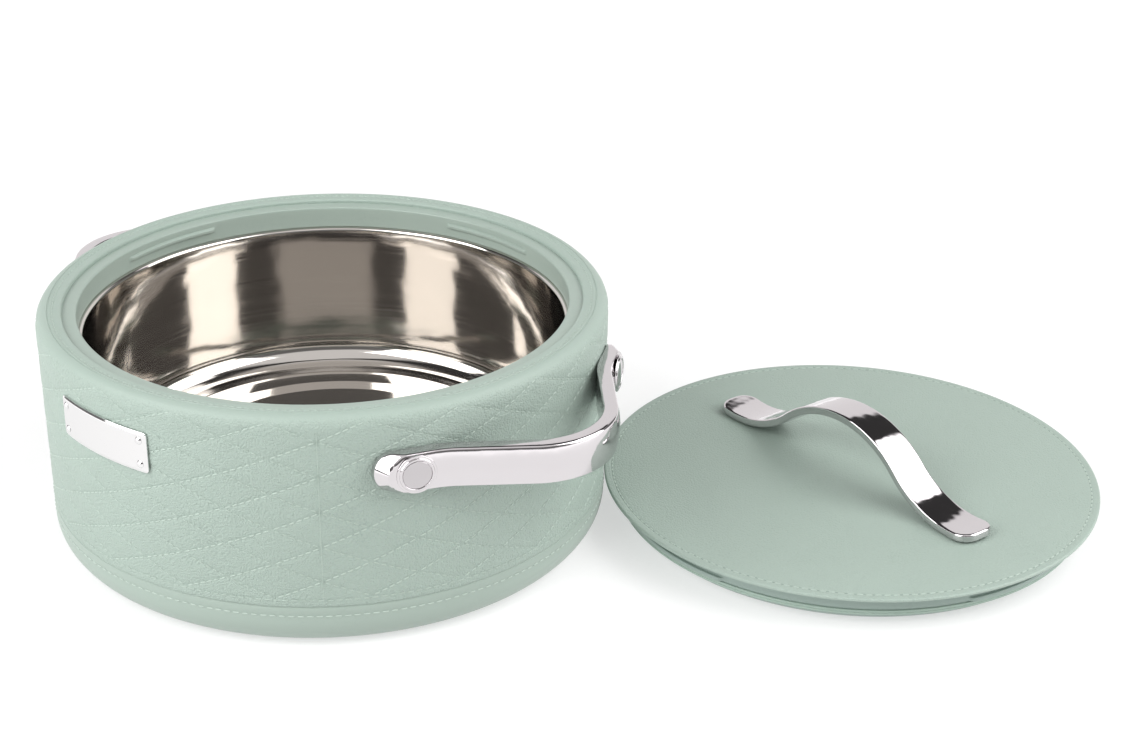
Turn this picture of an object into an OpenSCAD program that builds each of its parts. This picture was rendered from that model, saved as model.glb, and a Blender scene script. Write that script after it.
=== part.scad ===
// Insulated serving pot with a lift-off bayonet lid lying beside it, in millimetres.
// The pot stands on the origin, +Z is up, the side handles lie on X and the plate faces -Y.

/* [Pot] */
// Outer diameter of the shell at its rim
pot_d = 300; // [285:1:330]
// Height from the table to the top of the rim
pot_h = 128; // [120:1:150]
// Thickness of the moulded shell, base cup and collar
wall = 2.6; // [2:0.1:3]
// Lean of the wall for moulding, as radius lost towards the base
wall_draft = 0.7; // [0:0.1:1.2]
// Rounding of the bottom edge
edge_r = 16; // [10:1:18]
// Rounding of the rim's outer edge
rim_r = 7; // [5:0.5:8]
// Height of the seam between the shell and the base cup
seam_z = 24.5; // [22:0.5:30]
// Open width of the seam line
seam_gap = 0.5; // [0.3:0.1:1]
// Height by which the base cup reaches up inside the shell
spigot_h = 9; // [6:1:12]
// Width of the foot ring that the pot stands on
foot_w = 15; // [8:1:20]
// Height of the hollow inside the foot ring
foot_h = 2; // [1.6:0.2:3]
// Diameter of the foam filling hole in the base
fill_d = 16; // [10:1:20]
// Diameter of the filling plug's head
fill_head_d = 24; // [22:1:30]
// Thickness of the filling plug's head
fill_head_t = 1.2; // [0.8:0.1:1.4]

/* [Mouth] */
// Width of the rim, from the outer wall to the lid's recess
rim_w = 13.6; // [12.8:0.1:14.5]
// Rounding of the rim's inner edge
lip_r = 1.2; // [0.6:0.1:1.5]
// Fall of the rim's crown towards the recess
crown_fall = 0.8; // [0:0.1:1]
// Depth of the ledge below the top of the rim
ledge_drop = 3; // [2.8:0.1:4]
// Width of the ledge, from the recess to the collar's bore
ledge_w = 7.4; // [6.5:0.1:9]
// Width of the collar's flange that is bonded under the lip of the rim
collar_grip = 2.4; // [1.5:0.1:2.4]
// Height of the collar's wall, from the bowl's rim to the ledge
collar_h = 12; // [11.5:0.5:14]
// Length of each bayonet rib, as an angle
rib_arc = 28; // [20:1:34]
// Height of a bayonet rib
rib_h = 2.2; // [1.8:0.1:2.4]
// How far a bayonet rib stands out of the collar
rib_proud = 1.5; // [1.2:0.1:2]
// Depth of the ribs below the ledge
rib_drop = 4.2; // [3:0.1:4.4]

/* [Bowl] */
// Width of the bowl's rim that shows inside the collar
bowl_show = 2.5; // [2:0.1:4]
// Thickness of the bowl's sheet
steel_t = 0.8; // [0.6:0.1:1]
// Depth of the bowl, from its rim to its floor
bowl_depth = 84; // [70:1:90]
// Rounding between the bowl's wall and floor
bowl_fillet = 12.5; // [8:0.5:20]
// Bend radius of the bowl's rim
bowl_bend = 2; // [1.5:0.1:2.5]
// Reach of the bowl's flange behind the collar's bore
flange_w = 6; // [4:0.5:8]
// Diameter of the sunk disc in the bowl's floor
sunk_d = 168; // [120:1:180]
// Depth of the sunk disc
sunk_h = 1.5; // [0.5:0.1:2.5]
// Width of the slope around the sunk disc
slope_w = 8; // [4:0.5:12]

/* [Side handles] */
// Depth of the straps' middle line below the top of the rim
handle_drop = 30.3; // [28:0.1:40]
// Width of a side strap
strap_w = 21.6; // [20.6:0.2:26]
// Thickness of a side strap
strap_t = 8.6; // [7:0.2:9.4]
// Reach of a side strap from the wall to its outer face
strap_reach = 39.6; // [36:0.2:46]
// Bend radius at the middle of a side strap
strap_bend = 40.3; // [36:0.1:43]
// Radius where a strap's leg turns to lie along the wall
strap_sweep = 48.7; // [38:0.1:56]
// Angle from a strap's middle to each of its fixings
fixing_angle = 28; // [26:0.1:30]
// Flat stretch of strap between a fixing and the sweep
strap_flat = 7.9; // [6:0.1:9]
// Length of strap beyond a fixing
strap_end = 19.6; // [16:0.1:22]
// Length of the bevel at a strap's tip
tip_bevel = 5; // [2:0.5:6]
// Thickness of a strap's tip after the bevel
tip_t = 3; // [1.5:0.1:4]

/* [Handle fixings] */
// Shank diameter of a handle bolt
bolt_d = 6; // [5:0.5:6.5]
// Diameter of a bolt's round button head
button_d = 20; // [16:0.5:20]
// Height of a button head above its strap
button_h = 1.8; // [1.4:0.1:2.5]
// Width of the raised ring around a button's cap
button_ring = 1.7; // [1.5:0.1:3]
// Thickness of a button's cap
cap_t = 0.9; // [0.6:0.1:1.2]
// Diameter of a handle washer
washer_d = 16; // [13:0.5:18]
// Thickness of a handle washer
washer_t = 1.2; // [0.8:0.1:2]
// Width of a handle nut across its flats
nut_w = 10; // [9:0.5:11]
// Thickness of a handle nut
nut_t = 5; // [4:0.5:6]

/* [Plate] */
// Width of the plate, straight across
plate_w = 64; // [50:1:80]
// Height of the plate
plate_h = 21.5; // [18:0.5:26]
// Thickness of the plate
plate_t = 1.4; // [1:0.1:2]
// Depth of the plate's middle below the top of the rim
plate_drop = 28.8; // [26:0.1:40]
// Rounding of the plate's corners
plate_corner = 2; // [1:0.5:3]
// Head diameter of a plate rivet
rivet_d = 4; // [3:0.1:4.5]
// Head height of a plate rivet
rivet_h = 1; // [0.6:0.1:1.4]
// Shank diameter of a plate rivet
rivet_shank = 2; // [1.6:0.1:2.4]
// Distance of the rivets from the plate's sides
rivet_inset_x = 4.2; // [3.5:0.1:7]
// Distance of the rivets from the plate's top and bottom
rivet_inset_z = 4.4; // [3.5:0.1:6]

/* [Lid] */
// Gap between the lid's cover and the wall of its recess
cover_gap = 0.8; // [0.6:0.1:2.5]
// Thickness of the lid's cover
cover_t = 2.5; // [2:0.1:3]
// Rounding of the cover's top edge
cover_round = 1; // [0.5:0.1:1.4]
// Depth of the plug below the cover
plug_h = 18.8; // [18:0.1:22]
// Thickness of the plug's wall and bottom
plug_t = 3; // [2.6:0.1:3.4]
// Rounding of the plug's bottom edge
plug_edge = 13; // [12:0.2:13.2]
// Gap between the plug and the bayonet ribs
plug_gap = 0.7; // [0.4:0.1:1]
// Length of each bayonet lug, as an angle
lug_arc = 32; // [24:1:38]
// Height of a bayonet lug
lug_h = 2; // [1.6:0.1:2.2]
// Gap between a lug and the collar's bore
lug_gap = 0.5; // [0.3:0.1:0.8]
// Play between a lug and the rib above it
lug_play = 0.3; // [0.2:0.1:0.8]
// Height of the seal's groove
seal_h = 3.2; // [2.6:0.1:3.4]
// Depth of the seal's groove behind the plug's side
seal_depth = 3; // [2.6:0.1:3.2]
// Height of the ring under the cover that centres it in the plug
ring_h = 3; // [2:0.5:4]
// Thickness of that ring
ring_t = 2; // [1.5:0.1:3]

/* [Lid handle] */
// Width of the lid strap at its middle
lid_strap_w = 20; // [16:0.5:24]
// Width of the lid strap near its tips
lid_tip_w = 24; // [18:0.5:28]
// Thickness of the lid strap
lid_strap_t = 4.6; // [4.2:0.1:6]
// Height of the lid strap's arch above the cover
arch_h = 37; // [33:0.5:44]
// Bend radius at the top of the arch
arch_bend = 61.5; // [50:0.5:66]
// Distance from the lid's middle to where the strap rests on it
foot_x = 82.5; // [78:0.5:86]
// Distance from the lid's middle to the strap's tips
tip_x = 96; // [90:0.5:100]
// Length of the rounded tip
tip_round = 10; // [7:0.5:12]
// Shank diameter of a lid screw
screw_d = 4; // [3:0.1:4.5]
// Head diameter of a lid screw
screw_head_d = 8; // [6.5:0.1:9]
// Head height of a lid screw
screw_head_h = 2.4; // [1.8:0.1:3]
// Depth of a lid screw's thread in the strap
screw_grip = 3; // [2:0.1:3.2]
// Diameter of a lid washer
lid_washer_d = 12; // [10:0.5:14]
// Thickness of a lid washer
lid_washer_t = 1.2; // [0.8:0.1:1.6]

/* [Placing of the lid] */
// Direction from the pot to the lid, as an angle from +X
lid_angle = 41.5; // [36:0.5:48]
// Gap between the lid's edge and the pot's wall
lid_stand_off = 0.4; // [0.4:0.1:20]
// Gap between the lid and the table, which the pot alone stands on
lid_table_gap = 0.3; // [0.3:0.1:1]
// Turn of the lid's handle from X
lid_turn = -12; // [-45:1:45]

/* [Clearances] */
// Gap at a bonded or clamped seat on a round wall
seat = 0.1; // [0.05:0.05:0.2]
// Gap around a spigot, pin or shank
fit_gap = 0.15; // [0.1:0.05:0.25]
// Gap between the foam and what it fills
foam_gap = 0.2; // [0.1:0.05:0.3]
// Gap around the seal, which the lid turns past
seal_gap = 0.3; // [0.3:0.05:0.4]

/* [Hidden] */
$fn = 128;
arc_steps = 12;
bayonet_count = 4;
sage = "#a4b8ac";
deep_sage = "#93a89c";
chrome = "#d9d9dc";
steel = "#c4c0ba";
foam = "#efe6c8";
rubber = "#8fa399";

// Pot
pot_r = pot_d/2;
rim_foot_z = pot_h - rim_r;
cup_z = seam_z - seam_gap/2;
shell_z = seam_z + seam_gap/2;
edge_c = [pot_r - wall_draft - edge_r, edge_r];
spigot_r = wall_r(cup_z) - wall - fit_gap;
spigot_in_r = spigot_r - wall;
spigot_z = shell_z + spigot_h;
cup_floor_z = edge_r - (spigot_in_r - edge_c.x);

// Mouth
recess_r = pot_r - rim_w;
ledge_z = pot_h - ledge_drop;
collar_r = recess_r - ledge_w;
rib_r = collar_r - rib_proud;
rib_z = ledge_z - rib_drop - rib_h;

// Bowl
bowl_r = collar_r - bowl_show;
bowl_rim_z = ledge_z - collar_h;
floor_z = bowl_rim_z - bowl_depth;
sunk_z = floor_z - sunk_h;
sunk_r = sunk_d/2;
flange_r = collar_r + flange_w;
bowl_foot = [bowl_r - bowl_fillet, floor_z + bowl_fillet];
bowl_turn = [bowl_r + bowl_bend, bowl_rim_z - bowl_bend];

// Side handles: the strap's middle line is a bend, a straight leg, a sweep and a flat end
handle_z = pot_h - handle_drop;
strap_in = pot_r + seat;
strap_mid = strap_in + strap_t/2;
strap_out = strap_in + strap_t;
bend_c = [strap_in + strap_reach - strap_t/2 - strap_bend, 0];
sweep_c = (strap_mid + strap_sweep)*dir(fixing_angle) - strap_flat*dir(fixing_angle + 90);
centre_line = sweep_c - bend_c;
leg_angle = atan2(centre_line.y, centre_line.x) + asin((strap_bend + strap_sweep)/norm(centre_line));
shell_in_r = wall_r(handle_z - washer_d/2) - wall;
washer_out = sqrt(pow(shell_in_r, 2) - pow(washer_d/2, 2)) - seat;
nut_out = washer_out - washer_t;
bolt_in = nut_out - nut_t - 1;
button_in_d = button_d - 2*button_ring;

// Plate
plate_z = pot_h - plate_drop;
plate_in = pot_r + seat;
plate_out = plate_in + plate_t;
rivet_angle = asin((plate_w/2 - rivet_inset_x)/plate_out);
rivet_rise = plate_h/2 - rivet_inset_z;
rivet_tail = wall_r(plate_z - rivet_rise) - wall - seat - rivet_h;

// Lid
cover_r = recess_r - cover_gap;
lid_top = plug_h + cover_t;
plug_r = rib_r - plug_gap;
plug_in_r = plug_r - plug_t;
plug_c = [plug_r - plug_edge, plug_edge];
lug_r = collar_r - lug_gap;
lug_z = plug_h - rib_drop - rib_h - lug_play - lug_h;
seal_z = plug_h - collar_h + seat - seal_gap;
groove_r = plug_r - seal_depth;
seal_r = rib_r - seal_gap;
ring_r = plug_in_r - fit_gap;
lid_reach = wall_r(lid_top) + cover_r + lid_stand_off;
lid_washer_z = plug_h - lid_washer_t;

// Lid handle: the strap's middle line is an arch and two feet that curl up past where they rest
arch_rise = arch_h - lid_strap_t;
foot_bend = (foot_x*foot_x + arch_rise*arch_rise)/(2*arch_rise) - arch_bend;
arch_spread = asin(foot_x/(arch_bend + foot_bend));
tip_curl = asin((tip_x - foot_x)/foot_bend);
rest_z = lid_top + seat + lid_strap_t/2;
arch_c = [0, rest_z + arch_rise - arch_bend];
foot_c = [foot_x, rest_z + foot_bend];

function dir(a) = [cos(a), sin(a)];

// Points of an arc of radius r about c, from angle a0 to a1
function arc(c, r, a0, a1) = [for (i = [0:arc_steps]) c + r*dir(a0 + (a1 - a0)*i/arc_steps)];

function reversed(points) = [for (i = [len(points) - 1:-1:0]) points[i]];

function flipped_x(points) = [for (p = points) [-p.x, p.y]];

function flipped_y(points) = [for (p = points) [p.x, -p.y]];

// Outer radius of the leaning wall at height z
function wall_r(z) = pot_r - wall_draft*(rim_foot_z - z)/(rim_foot_z - edge_r);

// Half a side strap at a distance off its middle line, from its bend to its flat end
function side_line(off) = concat(
  arc(bend_c, strap_bend + off, 0, leg_angle - 90),
  arc(sweep_c, strap_sweep - off, leg_angle + 90, fixing_angle + 180));

// A point of a strap's flat end, by its distance from the pot's axis and from the fixing
function on_flat(out, along) = out*dir(fixing_angle) + along*dir(fixing_angle + 90);

// Half the lid strap at a distance off its middle line, from the arch to a tip
function lid_line(off) = concat(
  arc(arch_c, arch_bend + off, 90, 90 - arch_spread),
  arc(foot_c, foot_bend - off, 270 - arch_spread, 270 + tip_curl));

// Half width of the lid strap at a distance x from its middle
function lid_half_w(x) =
  let (past = max(0, x - tip_x + tip_round)/tip_round)
  (lid_strap_w + (lid_tip_w - lid_strap_w)*pow(x/tip_x, 2))/2*pow(1 - pow(past, 2.6), 1/2.6);

// Puts children at the four handle fixings, with their Z axis pointing out of the wall
module at_fixings() {
  for (side = [0, 180], s = [-1, 1])
    rotate([0, 0, side + s*fixing_angle])
      translate([0, 0, handle_z])
        rotate([0, 90, 0])
          children();
}

// Puts children at the plate's four rivets, with their Z axis pointing out of the wall
module at_rivets() {
  for (s = [-1, 1], k = [-1, 1])
    rotate([0, 0, -90 + s*rivet_angle])
      translate([0, 0, plate_z + k*rivet_rise])
        rotate([0, 90, 0])
          children();
}

// Puts children where the lid lies on the table beside the pot
module at_lid() {
  translate([lid_reach*cos(lid_angle), lid_reach*sin(lid_angle), lid_table_gap])
    rotate([0, 0, lid_turn])
      children();
}

// Puts children at the lid strap's two screws
module at_lid_screws() {
  for (s = [-1, 1])
    translate([s*foot_x, 0, 0])
      children();
}

// Equal arcs of a ring, set around the Z axis
module bayonet(inner_r, outer_r, z, height, length) {
  for (k = [0:bayonet_count - 1])
    rotate([0, 0, k*360/bayonet_count - length/2])
      rotate_extrude(angle = length)
        translate([inner_r, z])
          square([outer_r - inner_r, height]);
}

module outer_shell() {
  color(sage)
    difference() {
      rotate_extrude()
        polygon(concat(
          [[wall_r(shell_z), shell_z]],
          arc([pot_r - rim_r, rim_foot_z], rim_r, 0, 90),
          arc([recess_r + lip_r, pot_h - crown_fall - lip_r], lip_r, 90, 180),
          [[recess_r, ledge_z], [recess_r + wall, ledge_z]],
          [[recess_r + wall, pot_h - crown_fall - wall]],
          arc([pot_r - rim_r, rim_foot_z], rim_r - wall, 90, 0),
          [[wall_r(shell_z) - wall, shell_z]]));
      at_fixings()
        translate([0, 0, pot_r - 2*wall])
          cylinder(h = 3*wall, d = bolt_d + 2*fit_gap);
      at_rivets()
        translate([0, 0, pot_r - 2*wall])
          cylinder(h = 3*wall, d = rivet_shank + 2*fit_gap);
    }
}

module base_cup() {
  color(deep_sage)
    difference() {
      rotate_extrude()
        polygon(concat(
          [[0, foot_h], [edge_c.x - foot_w - foot_h, foot_h], [edge_c.x - foot_w, 0]],
          arc(edge_c, edge_r, -90, 0),
          [[wall_r(cup_z), cup_z], [spigot_r, cup_z], [spigot_r, spigot_z], [spigot_in_r, spigot_z]],
          arc(edge_c, spigot_in_r - edge_c.x, 0, -90),
          [[0, cup_floor_z]]));
      cylinder(h = 2*cup_floor_z, d = fill_d, center = true);
    }
}

module fill_plug() {
  color(rubber) {
    translate([0, 0, foot_h - fill_head_t])
      cylinder(h = fill_head_t, d = fill_head_d);
    translate([0, 0, foot_h - fill_head_t/2])
      cylinder(h = cup_floor_z - foot_h + fill_head_t/2, d = fill_d - 2*fit_gap);
  }
}

module rim_collar() {
  ledge_round = lip_r/2;
  color(sage) {
    rotate_extrude()
      polygon(concat(
        [[collar_r, bowl_rim_z], [collar_r + wall, bowl_rim_z], [collar_r + wall, ledge_z - wall]],
        [[recess_r + collar_grip, ledge_z - wall], [recess_r + collar_grip, ledge_z]],
        arc([collar_r + ledge_round, ledge_z - ledge_round], ledge_round, 90, 180)));
    bayonet(rib_r, collar_r + wall/2, rib_z, rib_h, rib_arc);
  }
}

module inner_bowl() {
  color(steel)
    rotate_extrude()
      polygon(concat(
        [[0, sunk_z], [sunk_r, sunk_z], [sunk_r + slope_w, floor_z]],
        arc(bowl_foot, bowl_fillet, -90, 0),
        arc(bowl_turn, bowl_bend, 180, 90),
        [[flange_r, bowl_rim_z], [flange_r, bowl_rim_z - steel_t]],
        arc(bowl_turn, bowl_bend - steel_t, 90, 180),
        arc(bowl_foot, bowl_fillet + steel_t, 0, -90),
        [[sunk_r + slope_w, floor_z - steel_t], [sunk_r, sunk_z - steel_t], [0, sunk_z - steel_t]]));
}

module foam_fill() {
  outer_r = pot_r - wall_draft - wall - foam_gap;
  top_z = min(rim_foot_z, ledge_z - wall) - foam_gap;
  under = steel_t + foam_gap;
  color(foam)
    difference() {
      rotate_extrude()
        polygon(concat(
          [[0, cup_floor_z + foam_gap]],
          arc(edge_c, spigot_in_r - edge_c.x - foam_gap, -90, 0),
          [[spigot_in_r - foam_gap, spigot_z + foam_gap], [outer_r, spigot_z + foam_gap]],
          [[outer_r, top_z], [collar_r + wall + foam_gap, top_z]],
          [[collar_r + wall + foam_gap, bowl_rim_z + foam_gap]],
          [[flange_r + foam_gap, bowl_rim_z + foam_gap], [flange_r + foam_gap, bowl_rim_z - under]],
          arc(bowl_turn, bowl_bend - under, 90, 180),
          arc(bowl_foot, bowl_fillet + under, 0, -90),
          [[sunk_r + slope_w, floor_z - under], [sunk_r, sunk_z - under], [0, sunk_z - under]]));
      at_fixings()
        translate([0, 0, bolt_in - foam_gap])
          cylinder(h = pot_r, d = washer_d + 2*foam_gap);
      at_rivets()
        translate([0, 0, rivet_tail - foam_gap])
          cylinder(h = pot_r, d = rivet_d + 2*foam_gap);
    }
}

// What is cut off a strap to leave its end half round, in the frame of a fixing
module end_cut() {
  reach = 2*strap_t;
  centre = strap_end - strap_w/2;
  difference() {
    translate([strap_mid - reach, centre, -strap_w])
      cube([2*reach, strap_w, 2*strap_w]);
    translate([strap_mid, centre, 0])
      rotate([0, 90, 0])
        cylinder(h = 4*reach, d = strap_w, center = true);
  }
}

// A chrome strap bent out of a round wall, its two ends lying on the wall
module side_strap() {
  half_out = concat(side_line(strap_t/2),
    [on_flat(strap_out, strap_end - tip_bevel), on_flat(strap_in + tip_t, strap_end)]);
  half_in = concat(side_line(-strap_t/2),
    [on_flat(strap_mid - strap_t, -strap_flat), on_flat(strap_mid - strap_t, strap_end)]);
  difference() {
    translate([0, 0, handle_z - strap_w/2])
      linear_extrude(strap_w)
        difference() {
          polygon(concat(half_out, reversed(half_in), flipped_y(half_in), reversed(flipped_y(half_out))));
          circle(r = strap_in);
        }
    for (s = [0, 1])
      mirror([0, s, 0])
        rotate([0, 0, fixing_angle])
          translate([0, 0, handle_z])
            end_cut();
    at_fixings()
      translate([0, 0, strap_in - strap_t])
        cylinder(h = 3*strap_t, d = bolt_d + 2*fit_gap);
  }
}

module handle_right() {
  color(chrome)
    side_strap();
}

module handle_left() {
  color(chrome)
    rotate([0, 0, 180])
      side_strap();
}

module handle_bolts() {
  head_in = strap_out + seat;
  color(chrome)
    at_fixings() {
      difference() {
        translate([0, 0, head_in])
          cylinder(h = button_h, d = button_d);
        translate([0, 0, head_in + button_h - cap_t])
          cylinder(h = 2*cap_t, d = button_in_d);
      }
      translate([0, 0, bolt_in])
        cylinder(h = head_in - bolt_in + (button_h - cap_t)/2, d = bolt_d);
    }
}

module bolt_caps() {
  color(chrome)
    at_fixings()
      translate([0, 0, strap_out + seat + button_h - cap_t])
        cylinder(h = cap_t, d = button_in_d - 2*fit_gap);
}

module handle_washers() {
  color(steel)
    at_fixings()
      translate([0, 0, washer_out - washer_t])
        difference() {
          cylinder(h = washer_t, d = washer_d);
          cylinder(h = 3*washer_t, d = bolt_d + 2*fit_gap, center = true);
        }
}

module handle_nuts() {
  color(steel)
    at_fixings()
      translate([0, 0, nut_out - nut_t])
        difference() {
          cylinder(h = nut_t, d = nut_w/cos(30), $fn = 6);
          cylinder(h = 3*nut_t, d = bolt_d + 2*fit_gap, center = true);
        }
}

// The plate's outline seen from the front, with round corners
module plate_outline() {
  square([plate_w, plate_h - 2*plate_corner], center = true);
  square([plate_w - 2*plate_corner, plate_h], center = true);
  for (x = [-1, 1], y = [-1, 1])
    translate([x*(plate_w/2 - plate_corner), y*(plate_h/2 - plate_corner)])
      circle(r = plate_corner);
}

module badge_plate() {
  color(chrome)
    difference() {
      intersection() {
        translate([0, -plate_out + 2*plate_h, plate_z])
          rotate([90, 0, 0])
            linear_extrude(3*plate_h)
              plate_outline();
        translate([0, 0, plate_z - plate_h])
          difference() {
            cylinder(h = 2*plate_h, r = plate_out);
            translate([0, 0, -1])
              cylinder(h = 2*plate_h + 2, r = plate_in);
          }
      }
      at_rivets()
        translate([0, 0, plate_in - plate_t])
          cylinder(h = 3*plate_t, d = rivet_shank + 2*fit_gap);
    }
}

module badge_rivets() {
  dome_r = (pow(rivet_d/2, 2) + pow(rivet_h, 2))/(2*rivet_h);
  head_in = plate_out + seat/2;
  color(chrome)
    at_rivets() {
      intersection() {
        translate([0, 0, head_in + rivet_h - dome_r])
          sphere(r = dome_r);
        translate([0, 0, head_in])
          cylinder(h = rivet_h + 1, d = rivet_d);
      }
      translate([0, 0, rivet_tail])
        cylinder(h = head_in - rivet_tail + rivet_h/2, d = rivet_shank);
      translate([0, 0, rivet_tail])
        cylinder(h = rivet_h, d = rivet_d);
    }
}

module lid_cover() {
  color(sage)
    at_lid()
      difference() {
        rotate_extrude()
          polygon(concat(
            [[0, plug_h], [ring_r - ring_t, plug_h], [ring_r - ring_t, plug_h - ring_h]],
            [[ring_r, plug_h - ring_h], [ring_r, plug_h], [cover_r, plug_h]],
            arc([cover_r - cover_round, lid_top - cover_round], cover_round, 0, 90),
            [[0, lid_top]]));
        at_lid_screws()
          translate([0, 0, plug_h - cover_t])
            cylinder(h = 3*cover_t, d = screw_d + 2*fit_gap);
      }
}

module lid_plug() {
  color(deep_sage)
    at_lid() {
      difference() {
        rotate_extrude()
          polygon(concat(
            [[0, 0]],
            arc(plug_c, plug_edge, -90, 0),
            [[plug_r, plug_h], [plug_in_r, plug_h]],
            arc(plug_c, plug_edge - plug_t, 0, -90),
            [[0, plug_t]]));
        translate([0, 0, seal_z])
          difference() {
            cylinder(h = seal_h, r = plug_r + plug_t);
            translate([0, 0, -seal_h])
              cylinder(h = 3*seal_h, r = groove_r);
          }
      }
      bayonet(plug_r - plug_t/2, lug_r, lug_z, lug_h, lug_arc);
    }
}

module lid_foam() {
  low_z = plug_h - ring_h - foam_gap;
  inner_r = ring_r - ring_t - foam_gap;
  color(foam)
    at_lid()
      difference() {
        rotate_extrude()
          polygon(concat(
            [[0, plug_t + foam_gap]],
            arc(plug_c, plug_edge - plug_t - foam_gap, -90, 0),
            [[plug_in_r - foam_gap, low_z], [inner_r, low_z], [inner_r, plug_h - foam_gap]],
            [[0, plug_h - foam_gap]]));
        at_lid_screws()
          translate([0, 0, lid_washer_z - screw_head_h - foam_gap])
            cylinder(h = plug_h, d = lid_washer_d + 2*foam_gap);
      }
}

module lid_seal() {
  color(rubber)
    at_lid()
      translate([0, 0, seal_z + seal_gap])
        difference() {
          cylinder(h = seal_h - 2*seal_gap, r = seal_r);
          translate([0, 0, -seal_h])
            cylinder(h = 3*seal_h, r = groove_r + seal_gap);
        }
}

module lid_handle() {
  half_top = lid_line(lid_strap_t/2);
  half_under = lid_line(-lid_strap_t/2);
  side = [for (i = [0:4*arc_steps]) let (x = tip_x*i/(4*arc_steps)) [x, lid_half_w(x)]];
  color(chrome)
    at_lid()
      difference() {
        intersection() {
          rotate([90, 0, 0])
            linear_extrude(2*lid_tip_w, center = true)
              polygon(concat(half_top, reversed(half_under), flipped_x(half_under),
                reversed(flipped_x(half_top))));
          linear_extrude(2*arch_h + 2*lid_top)
            polygon(concat(side, reversed(flipped_y(side)), flipped_x(flipped_y(side)),
              reversed(flipped_x(side))));
        }
        at_lid_screws()
          translate([0, 0, lid_top - screw_grip])
            cylinder(h = 2*screw_grip + fit_gap, d = screw_d + 2*fit_gap);
      }
}

module lid_screws() {
  color(steel)
    at_lid()
      at_lid_screws() {
        translate([0, 0, lid_washer_z - screw_head_h])
          cylinder(h = screw_head_h, d = screw_head_d);
        translate([0, 0, lid_washer_z - screw_head_h/2])
          cylinder(h = lid_top + screw_grip - lid_washer_z + screw_head_h/2, d = screw_d);
      }
}

module lid_washers() {
  color(steel)
    at_lid()
      at_lid_screws()
        translate([0, 0, lid_washer_z])
          difference() {
            cylinder(h = lid_washer_t, d = lid_washer_d);
            cylinder(h = 3*lid_washer_t, d = screw_d + 2*fit_gap, center = true);
          }
}

outer_shell();
base_cup();
fill_plug();
rim_collar();
inner_bowl();
foam_fill();
handle_right();
handle_left();
handle_bolts();
bolt_caps();
handle_washers();
handle_nuts();
badge_plate();
badge_rivets();
lid_cover();
lid_plug();
lid_foam();
lid_seal();
lid_handle();
lid_screws();
lid_washers();
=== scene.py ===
from math import acos, asin, atan2, cos, degrees, exp, floor, pi, radians, sin, sqrt, tan

import bmesh
import bpy
from mathutils import Matrix, Vector


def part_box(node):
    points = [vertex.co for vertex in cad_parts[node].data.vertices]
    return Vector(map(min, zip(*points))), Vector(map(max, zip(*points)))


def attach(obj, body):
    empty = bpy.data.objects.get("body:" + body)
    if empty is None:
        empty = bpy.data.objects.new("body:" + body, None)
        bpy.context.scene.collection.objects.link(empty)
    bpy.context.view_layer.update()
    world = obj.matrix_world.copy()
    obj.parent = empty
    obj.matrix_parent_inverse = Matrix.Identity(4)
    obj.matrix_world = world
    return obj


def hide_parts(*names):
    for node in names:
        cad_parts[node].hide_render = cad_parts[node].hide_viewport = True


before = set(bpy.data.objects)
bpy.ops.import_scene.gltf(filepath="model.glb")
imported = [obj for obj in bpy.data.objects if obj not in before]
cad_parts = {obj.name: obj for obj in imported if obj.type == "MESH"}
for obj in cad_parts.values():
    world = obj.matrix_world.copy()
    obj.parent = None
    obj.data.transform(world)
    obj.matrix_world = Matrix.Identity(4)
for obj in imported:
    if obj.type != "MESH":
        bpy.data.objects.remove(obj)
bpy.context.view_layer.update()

# A round insulated serving pot with its lid beside it, dressed around its solids. Sizes are in millimetres
# and become metres where a mesh is made. The pot stands on z = 0 about the Z axis, with its plate towards -Y
# and its side straps on X. The lid lies on the table towards +X +Y.
MM = 0.001
UP = Vector((0, 0, 1))


def corners(node):
    """A solid's lowest and highest corners, in millimetres."""
    low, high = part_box(node)
    return low / MM, high / MM


# Sizes that the frame gives; the side straps are a little narrower than their solids, with the same top
shell_low, shell_high = corners("outer_shell")
POT_R = shell_high.x
POT_H = shell_high.z
SHELL_Z = shell_low.z
collar_low, collar_high = corners("rim_collar")
LEDGE_Z = collar_high.z
FLANGE_OUT_R = collar_high.x
BOWL_RIM_Z = collar_low.z
BOWL_FLANGE_R = corners("inner_bowl")[1].x
strap_low, strap_high = corners("handle_right")
STRAP_NARROWED = 0.8
STRAP_W = strap_high.z - strap_low.z - STRAP_NARROWED
HANDLE_Z = strap_high.z - STRAP_W / 2
STRAP_REACH = strap_high.x
plate_low, plate_high = corners("badge_plate")
PLATE_OUT = -plate_low.y
PLATE_Z = (plate_low.z + plate_high.z) / 2
PLATE_H = plate_high.z - plate_low.z
PLATE_W = plate_high.x - plate_low.x
cover_low, cover_high = corners("lid_cover")
LID = ((cover_low.x + cover_high.x) / 2, (cover_low.y + cover_high.y) / 2)
COVER_R = (cover_high.x - cover_low.x) / 2
LID_TOP = cover_high.z
plug_low, plug_high = corners("lid_plug")
PLUG_LOW = plug_low.z
PLUG_TOP = plug_high.z
LUG_R = (plug_high.x - plug_low.x) / 2
seal_low, seal_high = corners("lid_seal")
SEAL_R = (seal_high.x - seal_low.x) / 2
ARCH_TOP = corners("lid_handle")[1].z

# Pot: the leaning wall, its rolled rim and the seam above the base
WALL = 2.6
WALL_DRAFT = 0.7
EDGE_R = 16
RIM_R = 7
RIM_FOOT_Z = POT_H - RIM_R
RIM_W = 13.6
RECESS_R = POT_R - RIM_W
LIP_R = 1.2
CROWN_FALL = 0.8
SEAM_GAP = 0.5
SEAM_DEPTH = 0.4
SPIGOT_H = 9
SPIGOT_PLAY = 0.15
SHELL_PLAY = 0.05
FOOT_W = 15
FOOT_H = 2

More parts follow.
